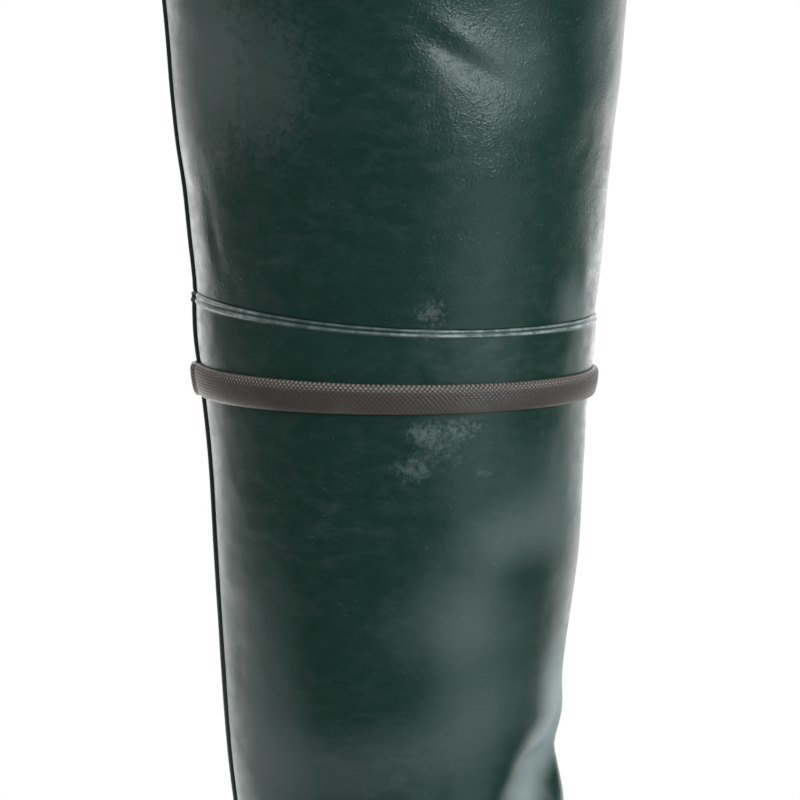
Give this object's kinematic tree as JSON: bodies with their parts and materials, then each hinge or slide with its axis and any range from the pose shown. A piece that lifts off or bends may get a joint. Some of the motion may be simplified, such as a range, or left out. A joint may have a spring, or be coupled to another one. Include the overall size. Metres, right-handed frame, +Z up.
{
  "type": "hip wader",
  "caption": "Right hip wader: knee-high rubber boot with a soft thigh tube bonded inside its collar, a knurled calf band and a belt strap.",
  "frame": {"origin": "on the floor, in the middle of the heel's ground face", "axes": "+X towards the toe, +Z up the leg; -Y is the outer side of this right boot and +Y its inner side"},
  "size_m": [0.3472, 0.2257, 0.833],
  "materials": {
    "boot_rubber": "dark green, semi-gloss, fine grain",
    "tube_rubber": "dark green, semi-gloss, wrinkled grain",
    "sole_rubber": "dark brown, matt",
    "band_rubber": "dark brown, matt, finely knurled",
    "strap_rubber": "dark green, satin",
    "insole_felt": "grey felt",
    "stud_steel": "dull nickel"
  },
  "bodies": {
    "root": {"outsole": "sole_rubber", "insole": "insole_felt", "boot_upper": "boot_rubber", "calf_band": "band_rubber", "thigh_tube": "tube_rubber", "strap_patch": "tube_rubber", "belt_strap": "strap_rubber", "strap_stud": "stud_steel"}
  },
  "joints": []
}
